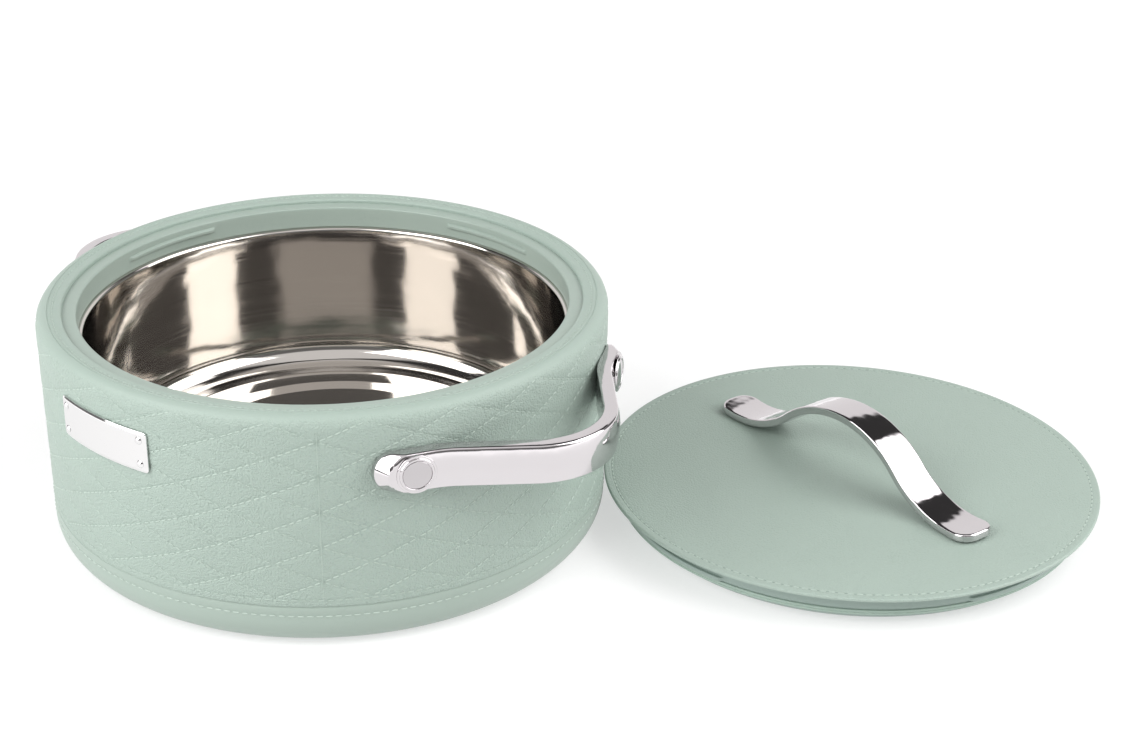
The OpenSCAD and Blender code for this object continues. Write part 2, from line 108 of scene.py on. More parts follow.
# Quilting: diamonds between two families of slanting seams, fading out above the rim's foot
QUILT_COLUMNS = 20
QUILT_Z = 29.3
QUILT_TOP = 124.2
QUILT_FADE = (RIM_FOOT_Z + 1.8, RIM_FOOT_Z + 3.7)
DIAMOND_H = 19.1
QUILT_ROWS = 10
SEAM_SPACING = 17.7
GROOVE_W = 0.9
GROOVE_DEPTH = 0.28
PILLOW_W = 4.5
PILLOW_DEPTH = 0.2
QUILT_STEPS = (0, 0.03, 0.065, 0.11, 0.18, 0.28, 0.39, 0.5, 0.61, 0.72, 0.82, 0.89, 0.935, 0.97)

# Where rows of stitches run and how deep they are set; the parting lines are the mould's two joints
QUILT_DASHES = 6
QUILT_PITCH = 3.9
HEM_Z = 28.4
HEM_SUNK = 0.15
BASE_ROW_Z = 19.4
BASE_SUNK = 0.1
RIM_GROOVE_R = 143.5
RIM_ROW_R = 141
RIM_SUNK = 0.5
LID_ROW_IN = 4.5
LID_SUNK = 0.16
PARTING_AZIMUTHS = (-45, 135)
PARTING_SUNK = 0.12
PARTING_STEP = 3
PARTING_STEPS = 31

# Stitches: pitch, length, width and height. A pitch just under the even one keeps the last of a set count
OPEN_FIT = 0.98
RING_FIT = 0.999
RISING_STITCH = (QUILT_PITCH * OPEN_FIT, 2.9, 0.85, 0.44)
FALLING_STITCH = (QUILT_PITCH * OPEN_FIT, 2.7, 0.8, 0.36)
HEM_STITCH = (4.4, 3.1, 0.7, 0.3)
BASE_STITCH = (4.6, 3.2, 0.8, 0.36)
RIM_STITCH = (3.6, 2.4, 0.85, 0.4)
PARTING_DASH = (2.9, 3.6, 0.45, 0.22)
LID_STITCH = (4.6, 3.0, 0.8, 0.24)
LID_HOLE = (4.6, 1.5, 0.9, 0.1)

# Small sections across a line, as pairs of an offset and a depth, or a rise for the bead on the bowl's floor
SEAM_EDGE = ((0, SEAM_DEPTH), (0.15, 0.15), (0.5, 0.02))
HEM_EDGE = ((-1, 0.02), (0, 0.21), (0.4, 0.21))
RIM_TROUGH = ((0.9, 0.12), (0.4, 0.42), (-0.4, RIM_SUNK), (-0.9, 0.38))
BASE_TROUGH = ((-1.1, 0), (-0.5, 0.16), (0.5, 0.16), (1.1, 0))
LID_TROUGH = ((1.6, 0), (1.1, 0.04), (0.6, LID_SUNK), (-0.6, LID_SUNK), (-1.1, 0.04), (-1.6, 0))
FLOOR_BEAD = ((-2.2, 0), (-1.2, 0.12), (-0.4, 0.4), (0.4, 0.4), (1.2, 0.12), (2.2, 0))

# Mouth: the collar with its bayonet ribs, and the bowl
LEDGE_W = 7.4
LEDGE_ROUND = 1
COLLAR_R = RECESS_R - LEDGE_W
RIB_PROUD = 1.5
RIB_DROP = 4.2
RIB_TOP = LEDGE_Z - RIB_DROP
RIB_H = 2.2
RIB_EDGE = 0.5
RIB_ARC = 28
BAYONETS = 4
BOWL_IN = 2.5
BOWL_R = COLLAR_R - BOWL_IN
STEEL_T = 0.8
BOWL_BEND = 2
BOWL_FILLET = 12.5
BOWL_DEPTH = 84
FLOOR_Z = BOWL_RIM_Z - BOWL_DEPTH
SUNK_DEPTH = 1.5
SUNK_Z = FLOOR_Z - SUNK_DEPTH
SUNK_R = 87
SLOPE_W = 7
SLOPE_FILLET = 6
BEAD_R = 106

# Side straps: a bend, a straight leg, a sweep and a flat end on the wall
SEAT = 0.1
STRAP_T = 8.6
STRAP_IN = POT_R + SEAT
STRAP_MID = STRAP_IN + STRAP_T / 2
STRAP_OUT = STRAP_IN + STRAP_T
STRAP_BEND = 40.3
STRAP_SWEEP = 48.7
STRAP_FLAT = 7.9
STRAP_END = 19.6
FIXING = radians(28)
FLANGE_R = 10
FLANGE_H = 0.5
BUTTON_R = 8.6
BUTTON_H = 1.2
CAP_T = 0.6
CAP_R = 7.2
BOLT_R = 3
BOLT_LEN = 19.1

# Plate and its rivets
PLATE_T = 1.4
PLATE_CORNER = 2
RIVET_R = 2
RIVET_H = 1
RIVET_IN_X = 4.2
RIVET_IN_Z = 4.4
RIVET_LEN = 5.3
RIVET_TAIL = 1
RIVET_SHANK_R = 1

# Lid: cover, plug with lugs, seal and arched strap
COVER_T = 2.5
COVER_ROUND = 1
COVER_LIP_W = 3
COVER_LIP_T = 1.7
RING_R = 123.65
RING_T = 2
RING_H = 3
PLUG_PLAY = 0.7
PLUG_R = COLLAR_R - RIB_PROUD - PLUG_PLAY
PLUG_T = 3
PLUG_EDGE = 13
LUG_H = 2
LUG_EDGE = 0.3
LUG_ARC = 32
LUG_DROP = 6.7
LUG_TOP = PLUG_TOP - LUG_DROP
GROOVE_IN = 3
GROOVE_R = PLUG_R - GROOVE_IN
GROOVE_GAP = 0.12
LID_TURN = radians(-12)
ARCH_T = 4.6
ARCH_BEND = 61.5
ARCH_H = ARCH_TOP - LID_TOP - SEAT
FOOT_X = 82.5
TIP_X = 97.5
ARCH_W = 21
TIP_W = 24.6
TIP_ROUND = 9.5
TIP_CURL = radians(6.5)

# A map range's setting for soft ends
SOFT = {"interpolation_type": "SMOOTHSTEP"}


# Finishes
def linear(code):
    """A linear colour from an sRGB hex code."""
    parts = [int(code[i:i + 2], 16) / 255 for i in (1, 3, 5)]
    return [p / 12.92 if p <= 0.04045 else ((p + 0.055) / 1.055) ** 2.4 for p in parts] + [1.0]


def add(tree, kind, feeds=(), **settings):
    """Adds a node with its settings and feeds its inputs, in order or by name or number.

    An input takes a node's first output, a socket, a hex colour or a plain value. A kind without a family is
    a shader node. A map range takes its value, the range from and the range to; a mix's colours are 6 and 7.
    """
    node = tree.nodes.new(kind if "Node" in kind else "ShaderNode" + kind)
    for name, value in settings.items():
        setattr(node, name, value)
    for key, value in feeds.items() if isinstance(feeds, dict) else enumerate(feeds):
        if isinstance(value, bpy.types.Node):
            value = value.outputs[0]
        if isinstance(value, bpy.types.NodeSocket):
            tree.links.new(value, node.inputs[key])
        else:
            is_colour = isinstance(value, str) and value.startswith("#")
            node.inputs[key].default_value = linear(value) if is_colour else value
    return node


def new_finish(name):
    """A new material with an empty tree; gives the material, its tree and the object's coordinates."""
    material = bpy.data.materials.new(name)
    material.use_nodes = True
    tree = material.node_tree
    tree.nodes.clear()
    return material, tree, add(tree, "TexCoord").outputs["Object"]


def shaded(material, **sockets):
    """Ends a material's tree with a shader, whose named sockets take links or values."""
    named = {key.replace("_", " "): value for key, value in sockets.items()}
    shader = add(material.node_tree, "BsdfPrincipled", named)
    add(material.node_tree, "OutputMaterial", {"Surface": shader})
    return material


def per_mm(size):
    """A texture's scale for a pattern of that many millimetres."""
    return 1 / (size * MM)


def polypropylene(name, light, dark, grain, depth, rough, fade=None):
    """Polypropylene from a tool with an etched skin: cells of that size, their edges a little darker: painted
    shade.

    fade gives the two heights between which the cells die away.
    """
    material, tree, place = new_finish(name)
    cells = add(tree, "TexVoronoi", {"Vector": place, "Scale": per_mm(grain), "Smoothness": 0.35,
                                     "Randomness": 0.9}, feature="SMOOTH_F1")
    clouds = add(tree, "TexNoise", {"Vector": place, "Scale": per_mm(35), "Detail": 3.0})
    height = cells
    if fade:
        z = add(tree, "SeparateXYZ", (place,)).outputs["Z"]
        shown = add(tree, "MapRange", (z, fade[0] * MM, fade[1] * MM, 1.0, 0.12), **SOFT)
        height = add(tree, "Math", (cells, shown), operation="MULTIPLY")
    # Painted shade: the cells' edges, the grain's creases, mix towards the dark tone; the clouds mottle it at
    # random
    edges = add(tree, "MapRange", (height, 0.1, 0.75, 0.0, 0.75))
    shade = add(tree, "Math", (edges, clouds, -0.32), operation="MULTIPLY_ADD")
    tone = add(tree, "Mix", {0: shade, 6: light, 7: dark}, data_type="RGBA", clamp_factor=True)
    bump = add(tree, "Bump", {"Height": height, "Distance": depth * MM}, invert=True)
    return shaded(material, Base_Color=tone.outputs[2], Normal=bump, Roughness=rough,
                  Specular_IOR_Level=0.4)


# Moulded polypropylene with a leather grain: a soft, broken sheen that smooths out over the rim
grained = polypropylene("grained_polypropylene", "#9aa9a0", "#66726c", grain=1.0, depth=0.45, rough=0.5,
                        fade=(124, 127.2))

# The same plastic with a finer etch, as on the lid: nearly flat to the eye, without gloss
fine_grained = polypropylene("fine_grained_polypropylene", "#99a89f", "#7c8b82", grain=1.0, depth=0.22,
                             rough=0.5)

# Smooth moulded polypropylene, as on the collar and base: a satin skin with a faint flow pattern
satin = polypropylene("satin_polypropylene", "#97a59c", "#8c9a91", grain=2.2, depth=0.012, rough=0.38)

# The lid plug's polypropylene, smooth, darker and a little greyer than the cover: painted shade for its place
# under the cover's lip
skirt = polypropylene("skirt_polypropylene", "#8f9f98", "#83938b", grain=2.0, depth=0.012, rough=0.42)

# Moulded stitches, paler than the wall: painted light, for light catching their raised tops
lit_thread = polypropylene("stitch_polypropylene", "#abb9b0", "#9fada4", grain=0.7, depth=0.03, rough=0.45)

# Stitches of the falling rows, hem and rim, which lie lower: the shaded copy of the paler stitches, whose
# tone, nearer the wall's, is painted shade
shaded_thread = polypropylene("shaded_stitch_polypropylene", "#a3b1a8", "#98a69d", grain=0.7, depth=0.03,
                           rough=0.5)

# The pricked holes between the lid's stitches, dark because light doesn't reach their bottom
stitch_hole = polypropylene("stitch_hole_polypropylene", "#87968d", "#7c8b82", grain=0.6, depth=0.02,
                            rough=0.7)


def bright_plating(name, tint, wave):
    """Bright plating: a mirror with the slow waves of what lies under it and a few soft wipe marks."""
    material, tree, place = new_finish(name)
    waves = add(tree, "TexNoise", {"Vector": place, "Scale": per_mm(8), "Detail": 1.0})
    bump = add(tree, "Bump", {"Height": waves, "Distance": wave * MM})
    wipes = add(tree, "TexNoise", {"Vector": place, "Scale": per_mm(5), "Detail": 4.0})
    rough = add(tree, "MapRange", (wipes, 0.35, 0.75, 0.045, 0.1))
    return shaded(material, Base_Color=tint, Metallic=1.0, Normal=bump, Roughness=rough)


# Chrome-plated ABS of the straps: a lilac-grey mirror whose reflections waver with the moulded core
chrome = bright_plating("chrome_plated_abs", "#d2ced0", wave=0.14)

# Chrome-plated steel of the button heads' discs: a greyer mirror than the straps about it
disc_chrome = bright_plating("chrome_plated_steel", "#c0bcbe", wave=0.06)

# Nickel-plated steel of the plate and its rivets: a flatter, whiter mirror
nickel = bright_plating("nickel_plated_steel", "#e3e2e2", wave=0.04)


def polished_stainless():
    # Drawn stainless steel, mop polished on a lathe: a warm mirror with fine rings about the bowl's axis
    material, tree, place = new_finish("polished_stainless_steel")
    flat = add(tree, "VectorMath", (place, (1, 1, 0)), operation="MULTIPLY")
    radius = add(tree, "VectorMath", (flat,), operation="LENGTH").outputs["Value"]
    z = add(tree, "SeparateXYZ", (place,)).outputs["Z"]
    across = add(tree, "CombineXYZ", {"X": radius, "Y": z})
    rings = add(tree, "TexNoise", {"Vector": across, "Scale": per_mm(1.6), "Detail": 3.0})
    dents = add(tree, "TexNoise", {"Vector": place, "Scale": per_mm(45), "Detail": 2.0})
    ringed = add(tree, "Bump", {"Height": rings, "Distance": 0.004 * MM})
    bump = add(tree, "Bump", {"Height": dents, "Distance": 0.5 * MM, "Normal": ringed})
    rough = add(tree, "MapRange", (rings, 0.3, 0.7, 0.05, 0.12))
    tone = add(tree, "Mix", {0: dents, 6: "#d0ccc7", 7: "#cbc7c2"}, data_type="RGBA")
    return shaded(material, Base_Color=tone.outputs[2], Metallic=1.0, Normal=bump, Roughness=rough)


def zinc_plated_steel():
    # Zinc-plated steel of nuts, washers and screws: a cool grey with the plating's small blotches
    material, tree, place = new_finish("zinc_plated_steel")
    spots = add(tree, "TexVoronoi", {"Vector": place, "Scale": per_mm(1.5)})
    tone = add(tree, "Mix", {0: spots, 6: "#c4c6c8", 7: "#a7aaae"}, data_type="RGBA")
    rough = add(tree, "MapRange", {0: spots, 3: 0.28, 4: 0.42})
    return shaded(material, Base_Color=tone.outputs[2], Metallic=1.0, Roughness=rough)


def silicone_rubber():
    # Moulded silicone of the seal and the base's plug: matt, with a dusty bloom
    material, tree, place = new_finish("silicone_rubber")
    bloom = add(tree, "TexNoise", {"Vector": place, "Scale": per_mm(4), "Detail": 4.0})
    tone = add(tree, "Mix", {0: bloom, 6: "#93a69b", 7: "#a2b4a9"}, data_type="RGBA")
    bump = add(tree, "Bump", {"Height": bloom, "Distance": 0.03 * MM})
    return shaded(material, Base_Color=tone.outputs[2], Normal=bump, Roughness=0.6, Specular_IOR_Level=0.35)


def polyurethane_foam():
    # Rigid poured polyurethane foam: cream, with the open cells of its cut skin
    material, tree, place = new_finish("polyurethane_foam")
    cells = add(tree, "TexVoronoi", {"Vector": place, "Scale": per_mm(1.1)})
    tone = add(tree, "Mix", {0: cells, 6: "#f0e6c8", 7: "#d9cca6"}, data_type="RGBA")
    bump = add(tree, "Bump", {"Height": cells, "Distance": 0.3 * MM}, invert=True)
    return shaded(material, Base_Color=tone.outputs[2], Normal=bump, Roughness=0.9)


stainless = polished_stainless()
zinc = zinc_plated_steel()
silicone = silicone_rubber()
foam = polyurethane_foam()


# Shapes
def placed(name, data):
    """A new object of that data in the scene."""
    thing = bpy.data.objects.new(name, data)
    bpy.context.scene.collection.objects.link(thing)
    return thing


def mesh_of(name, points, faces, sharp=32):
    """A mesh in metres from points in millimetres: seams merged, facing out, smooth between sharp edges."""
    mesh = bpy.data.meshes.new(name)
    mesh.from_pydata([Vector(p) * MM for p in points], [], faces)
    form = bmesh.new()
    form.from_mesh(mesh)
    bmesh.ops.remove_doubles(form, verts=form.verts, dist=0.001 * MM)
    bmesh.ops.recalc_face_normals(form, faces=form.faces)
    form.to_mesh(mesh)
    form.free()
    mesh.shade_smooth()
    mesh.set_sharp_from_angle(angle=radians(sharp))
    return mesh


def piece(name, mesh, material, body, slot, *nodes):
    """Puts a finished mesh in the frame, on its body, in place of the solids that it stands for."""
    thing = placed(name, mesh)
    mesh.materials.clear()
    mesh.materials.append(material)
    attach(thing, body)
    if nodes:
        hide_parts(*nodes)


def heading(angle):
    """The level direction at an azimuth."""
    return Vector((cos(angle), sin(angle), 0))


def arc(centre, radius, start, end, steps=10):
    """Points of an arc, with its angles in degrees."""
    turns = [radians(start + (end - start) * k / steps) for k in range(steps + 1)]
    return [(centre[0] + radius * cos(t), centre[1] + radius * sin(t)) for t in turns]


def filleted(outline, steps=6):
    """The closed outline through (x, y, radius) corners, each rounded by its radius."""
    points = []
    for i, (x, y, radius) in enumerate(outline):
        here = Vector((x, y))
        if not radius:
            points.append((x, y))
            continue
        back = (Vector(outline[i - 1][:2]) - here).normalized()
        ahead = (Vector(outline[(i + 1) % len(outline)][:2]) - here).normalized()
        half = acos(max(-1, min(1, back.dot(ahead)))) / 2
        centre = here + (back + ahead).normalized() * radius / sin(half)
        start = here + back * radius / tan(half) - centre
        end = here + ahead * radius / tan(half) - centre
        first = atan2(start.y, start.x)
        turn = (atan2(end.y, end.x) - first + pi) % (2 * pi) - pi
        points += arc(centre, radius, degrees(first), degrees(first + turn), steps)
    return points


def lathe(profile, segments, centre=(0, 0)):
    """Points and faces of a closed (radius, height) profile, or one for each angle, turned about an axis."""
    turned = profile if callable(profile) else lambda angle: profile
    points = []
    for k in range(segments):
        angle = 2 * pi * k / segments
        points += [(centre[0] + r * cos(angle), centre[1] + r * sin(angle), z) for r, z in turned(angle)]
    count = len(points) // segments
    faces = []
    for k in range(segments):
        here, there = k * count, (k + 1) % segments * count
        for i in range(count):
            ahead = (i + 1) % count
            faces.append((here + i, there + i, there + ahead, here + ahead))
    return points, faces


def turned_piece(name, profile, segments, material, body, slot, node, centre=(0, 0)):
    """A piece turned about an upright axis, in place of a solid."""
    piece(name, mesh_of(name, *lathe(profile, segments, centre)), material, body, slot, node)


def smooth(value, low, high):
    """Rises softly from 0 at low to 1 at high."""
    t = max(0, min(1, (value - low) / (high - low)))
    return t * t * (3 - 2 * t)


def wall_r(z):
    """Outer radius of the leaning wall at height z."""
    return POT_R - WALL_DRAFT * (RIM_FOOT_Z - z) / (RIM_FOOT_Z - EDGE_R)


def on_wall(azimuth, path, proud):
    """A point of the wall and its way out; path is the height, and over the rim follows its curve."""
    lean = max(0, path - RIM_FOOT_Z) / RIM_R
    if lean:
        r = POT_R - RIM_R + (RIM_R + proud) * cos(lean)
        z = RIM_FOOT_Z + (RIM_R + proud) * sin(lean)
    else:
        r, z = wall_r(path) + proud, path
    around = heading(azimuth)
    return around * r + UP * z, around * cos(lean) + UP * sin(lean)


# Geometry Nodes trees
def new_tree(name, **inputs):
    """A tree with named inputs and one geometry output; gives the tree and what its inputs bring."""
    tree = bpy.data.node_groups.new(name, "GeometryNodeTree")
    for label, kind in inputs.items():
        tree.interface.new_socket(label, in_out="INPUT", socket_type="NodeSocket" + kind)
    tree.interface.new_socket("Made", in_out="OUTPUT", socket_type="NodeSocketGeometry")
    return tree, add(tree, "NodeGroupInput").outputs


def end_tree(tree, instances, material):
    """Ends a tree as the export needs it: real faces with their material."""
    real = add(tree, "GeometryNodeRealizeInstances", (instances,))
    dressed = add(tree, "GeometryNodeSetMaterial", {"Geometry": real, "Material": material})
    add(tree, "NodeGroupOutput", (dressed,))


def stitch_run_tree():
    """Lays stitches lengthwise along a guide's lines at a pitch, with their tops the guide's way out."""
    tree, given = new_tree("stitch_run", Guide="Geometry", Pitch="Float", Length="Float", Width="Float",
                           Height="Float", Form="Object", Thread="Material")
    lines = add(tree, "GeometryNodeMeshToCurve", (given["Guide"],))
    spots = add(tree, "GeometryNodeCurveToPoints", {"Curve": lines, "Length": given["Pitch"]}, mode="LENGTH")
    out = add(tree, "GeometryNodeInputNamedAttribute", {"Name": "out"}, data_type="FLOAT_VECTOR")
    along = add(tree, "FunctionNodeAlignRotationToVector", {"Vector": spots.outputs["Tangent"]}, axis="X")
    turned = add(tree, "FunctionNodeAlignRotationToVector", {"Rotation": along, "Vector": out}, axis="Z",
                 pivot_axis="X")
    size = add(tree, "CombineXYZ", {"X": given["Length"], "Y": given["Width"], "Z": given["Height"]})
    form = add(tree, "GeometryNodeObjectInfo", {"Object": given["Form"]})
    laid = add(tree, "GeometryNodeInstanceOnPoints",
               {"Points": spots, "Instance": form.outputs["Geometry"], "Rotation": turned, "Scale": size})
    end_tree(tree, laid, given["Thread"])
    return tree


def fastener_set_tree():
    """Sets one fastener at each point of a guide, with its axis the point's way out."""
    tree, given = new_tree("fastener_set", Spots="Geometry", Form="Object", Finish="Material")
    out = add(tree, "GeometryNodeInputNamedAttribute", {"Name": "out"}, data_type="FLOAT_VECTOR")
    turned = add(tree, "FunctionNodeAlignRotationToVector", {"Vector": out}, axis="Z")
    form = add(tree, "GeometryNodeObjectInfo", {"Object": given["Form"]})
    laid = add(tree, "GeometryNodeInstanceOnPoints",
               {"Points": given["Spots"], "Instance": form.outputs["Geometry"], "Rotation": turned})
    end_tree(tree, laid, given["Finish"])
    return tree


stitch_run = stitch_run_tree()
fastener_set = fastener_set_tree()


def guide_mesh(runs, closed):
    """Lines through (point, way out) pairs, which the trees read as an attribute named out."""
    mesh = bpy.data.meshes.new("guide")
    points = [p for run in runs for p, out in run]
    edges, first = [], 0
    for run in runs:
        edges += [(first + i, first + i + 1) for i in range(len(run) - 1)]
        if closed:
            edges.append((first + len(run) - 1, first))
        first += len(run)
    mesh.from_pydata([p * MM for p in points], edges, [])
    ways = mesh.attributes.new("out", "FLOAT_VECTOR", "POINT")
    ways.data.foreach_set("vector", [c for run in runs for p, out in run for c in out])
    return mesh


def grown(name, tree, guide, form, **inputs):
    """Runs a tree with its named inputs on a guide and a form, and gives what it made as a plain mesh."""
    inputs["Form"] = placed("form", form)
    maker = placed(name + "_guide", guide)
    modifier = maker.modifiers.new("grow", "NODES")
    modifier.node_group = tree
    for socket in tree.interface.items_tree:
        if socket.name in inputs:
            modifier[socket.identifier] = inputs[socket.name]
    depsgraph = bpy.context.evaluated_depsgraph_get()
    mesh = bpy.data.meshes.new_from_object(maker.evaluated_get(depsgraph), depsgraph=depsgraph)
    mesh.name = name
    bpy.data.objects.remove(maker)
    bpy.data.objects.remove(inputs["Form"])
    return mesh


def stitch_form():
    """A stitch of unit length, width and height: round over the top, drawn in at both ends."""
    sections = ((-0.5, 0.25), (-0.44, 0.7), (-0.26, 0.95), (0, 1), (0.26, 0.95), (0.44, 0.7), (0.5, 0.25))
    sides = [radians(a) for a in (-25, 25, 65, 115, 155, 205)]
    points = [(x, 0.5 * full * cos(a), full * sin(a)) for x, full in sections for a in sides]
    count = len(sides)
    faces = [tuple(range(count)), tuple(range(len(points) - count, len(points)))]
    for i in range(len(sections) - 1):
        for k in range(count):
            a, b = i * count + k, i * count + (k + 1) % count
            faces.append((a, b, b + count, a + count))
    return mesh_of("stitch_form", [Vector(p) / MM for p in points], faces, 60)


stitch = stitch_form()


def stitches(name, runs, kind, material, body, slot, closed=False):
    """A piece of stitches along the runs; kind is their pitch, length, width and height."""
    sizes = dict(zip(("Pitch", "Length", "Width", "Height"), [size * MM for size in kind]))
    mesh = grown(name, stitch_run, guide_mesh(runs, closed), stitch, Thread=material, **sizes)
    piece(name, mesh, material, body, slot)


def fasteners(name, spots, form, material, body, slot, *nodes):
    """A piece of like fasteners, one at each (point, way out) spot."""
    mesh = grown(name, fastener_set, guide_mesh([[spot] for spot in spots], False), form, Finish=material)
    piece(name, mesh, material, body, slot, *nodes)


def ring_run(radius, z, out, centre=(0, 0), steps=360, turn=0.0):
    """A level ring of (point, way out) pairs; out is the way out as (outward, upward) shares."""
    ways = [heading(2 * pi * k / steps + turn) for k in range(steps)]
    return [(way * radius + Vector((*centre, z)), way * out[0] + UP * out[1]) for way in ways]


# Quilted shell
def quilt_azimuth(p, q):
    """Azimuth of the place p seams along one family and q along the other."""
    return pi / QUILT_COLUMNS * (p + q)


def quilt_path(p, q):
    """How far up the wall and over the rim that place lies."""
    return QUILT_Z + DIAMOND_H / 2 * (p - q)


def quilt_sunk(p, q):
    """How far the wall is sunk there: the seams lie at p = 0, 1, 2 ... and q = 0, 1, 2 ..."""
    nearest = [SEAM_SPACING * abs(v - floor(v + 0.5)) for v in (p, q)]
    groove = max(exp(-(d / GROOVE_W) ** 2) for d in nearest)
    pillow = max(exp(-d / PILLOW_W) for d in nearest)
    edge = 1 - smooth(quilt_path(p, q), *QUILT_FADE)
    return (GROOVE_DEPTH * groove + PILLOW_DEPTH * pillow) * edge


def shell_section():
    """From the quilting's top edge over the rim, round the lip, down inside and up to its lower edge."""
    rim_c = (POT_R - RIM_R, RIM_FOOT_Z)
    lip_c = (RECESS_R + LIP_R, POT_H - CROWN_FALL - LIP_R)
    top_lean = degrees((quilt_path(QUILT_ROWS, 0) - RIM_FOOT_Z) / RIM_R)
    groove_lean = degrees(acos((RIM_GROOVE_R - rim_c[0]) / RIM_R))
    # The groove's half widths, in degrees of the rim's curve, and its depth
    wide, flat, deep = 3.4, 1.4, 0.3
    section = arc(rim_c, RIM_R, top_lean, groove_lean - wide, 14)[1:]
    section += arc(rim_c, RIM_R - deep, groove_lean - flat, groove_lean + flat, 2)
    section += arc(rim_c, RIM_R, groove_lean + wide, 90, 3)
    section += [(RIM_ROW_R + off, POT_H - sunk) for off, sunk in RIM_TROUGH]
    section += arc(lip_c, LIP_R, 90, 180, 6)
    section += [(RECESS_R, LEDGE_Z), (RECESS_R + WALL, LEDGE_Z), (RECESS_R + WALL, POT_H - CROWN_FALL - WALL)]
    section += arc(rim_c, RIM_R - WALL, 90, 0, 8)
    section += [(wall_r(SHELL_Z) - WALL, SHELL_Z)]
    section += [(wall_r(SHELL_Z) - sunk, SHELL_Z + off) for off, sunk in SEAM_EDGE]
    return section + [(wall_r(HEM_Z) - sunk, HEM_Z + off) for off, sunk in HEM_EDGE]


def quilted_shell():
    """The shell as a slanting grid that follows the seams, closed by its section over the rim and inside."""
    n = len(QUILT_STEPS)
    columns, rows = QUILT_COLUMNS * n, QUILT_ROWS * n

    def seam_place(i):
        return i // n + QUILT_STEPS[i % n]

    points, index = [], {}
    for b in range(columns):
        for d in range(rows + 1):
            p, q = seam_place(b + d), seam_place(b)
            index[b, d] = len(points)
            points.append(on_wall(quilt_azimuth(p, q), quilt_path(p, q), -quilt_sunk(p, q))[0])
    faces = []
    for b in range(columns):
        ahead = (b + 1) % columns
        faces.append((index[b, 0], index[ahead, 0], index[b, 1]))
        faces.append((index[b, rows], index[ahead, rows], index[ahead, rows - 1]))
        for d in range(1, rows):
            faces.append((index[b, d], index[b, d + 1], index[ahead, d], index[ahead, d - 1]))

    rings = [[index[b, rows] for b in range(columns)]]
    turns = [quilt_azimuth(seam_place(b + rows), seam_place(b)) for b in range(columns)]
    for r, z in shell_section():
        rings.append(range(len(points), len(points) + columns))
        points += [(r * cos(t), r * sin(t), z) for t in turns]
    shift = rows // 2
    rings.append([index[(b + shift) % columns, 0] for b in range(columns)])
    for ring, made in zip(rings, rings[1:]):
        for k in range(columns):
            ahead = (k + 1) % columns
            faces.append((ring[k], ring[ahead], made[ahead], made[k]))
    piece("quilted_shell", mesh_of("quilted_shell", points, faces, 40), grained, "pot", "quilted_shell",
          "outer_shell")


def quilt_stitches():
    """Six stitches along each side of each diamond, as far up as the rim's curve."""
    side = sqrt((2 * pi * POT_R / QUILT_COLUMNS / 2) ** 2 + (DIAMOND_H / 2) ** 2)
    margin = (1 - (QUILT_DASHES - 1) * QUILT_PITCH / side) / 2
    step = QUILT_PITCH / side
    falling, rising = [], []
    for seam in range(QUILT_COLUMNS):
        for row in range(QUILT_ROWS):
            laid = [margin + step * k for k in range(QUILT_DASHES)]
            laid = [t for t in laid if quilt_path(row + t, 0) < QUILT_TOP]
            if len(laid) < 2:
                continue
            for runs, ways in ((falling, [(seam, seam - row - t) for t in laid]),
                               (rising, [(seam + row + t, seam) for t in laid])):
                runs.append([on_wall(quilt_azimuth(p, q), quilt_path(p, q), -quilt_sunk(0, 0))
                             for p, q in ways])
    # The rising rows take the lit thread and the falling rows the shaded one: painted light and shade for a
    # key light from the upper left
    stitches("rising_stitches", rising, RISING_STITCH, lit_thread, "pot", "quilted_shell")
    stitches("falling_stitches", falling, FALLING_STITCH, shaded_thread, "pot", "quilted_shell")


def stitch_rows():
    """Rows above and below the seam and round the rim, and the mould's two parting lines."""
    hem = ring_run(wall_r(HEM_Z) - HEM_SUNK, HEM_Z, (1, 0))
    stitches("hem_stitches", [hem], HEM_STITCH, shaded_thread, "pot", "quilted_shell", True)
    base = ring_run(wall_r(BASE_ROW_Z) - BASE_SUNK, BASE_ROW_Z, (1, 0))
    stitches("base_stitches", [base], BASE_STITCH, lit_thread, "pot", "smooth_plastic", True)
    rim = ring_run(RIM_ROW_R, POT_H - RIM_SUNK, (0, 1))
    stitches("rim_stitches", [rim], RIM_STITCH, shaded_thread, "pot", "quilted_shell", True)
    heights = [QUILT_Z + PARTING_STEP * k for k in range(PARTING_STEPS)]
    parting = [[on_wall(radians(a), z, -PARTING_SUNK) for z in heights] for a in PARTING_AZIMUTHS]
    stitches("parting_lines", parting, PARTING_DASH, shaded_thread, "pot", "quilted_shell")


quilted_shell()
quilt_stitches()
stitch_rows()


# Base, collar and bowl
def smooth_base():
    """The cup below the seam, with the foot ring that it stands on and a spigot up inside the shell."""
    edge_c = (POT_R - WALL_DRAFT - EDGE_R, EDGE_R)
    top = SHELL_Z - SEAM_GAP
    spigot = wall_r(top) - WALL - SPIGOT_PLAY
    inner_r = spigot - WALL - edge_c[0]
    foot = edge_c[0] - FOOT_W
    row = wall_r(BASE_ROW_Z)
    profile = filleted([(0, FOOT_H, 0), (foot - FOOT_H, FOOT_H, 0.8), (foot, 0, 0.5), (edge_c[0], 0, 0)])
    profile += arc(edge_c, EDGE_R, -90, 0, 16)[1:]
    profile += [(row - sunk, BASE_ROW_Z + off) for off, sunk in BASE_TROUGH]
    profile += [(wall_r(top) - sunk, top - off) for off, sunk in reversed(SEAM_EDGE)]
    profile += [(wall_r(top) - SEAM_DEPTH, SHELL_Z - SHELL_PLAY), (spigot, SHELL_Z - SHELL_PLAY),
                (spigot, SHELL_Z + SPIGOT_H), (spigot - WALL, SHELL_Z + SPIGOT_H)]
    profile += arc(edge_c, inner_r, 0, -90, 12) + [(0, EDGE_R - inner_r)]
    turned_piece("smooth_base", profile, 360, satin, "pot", "smooth_plastic", "base_cup")


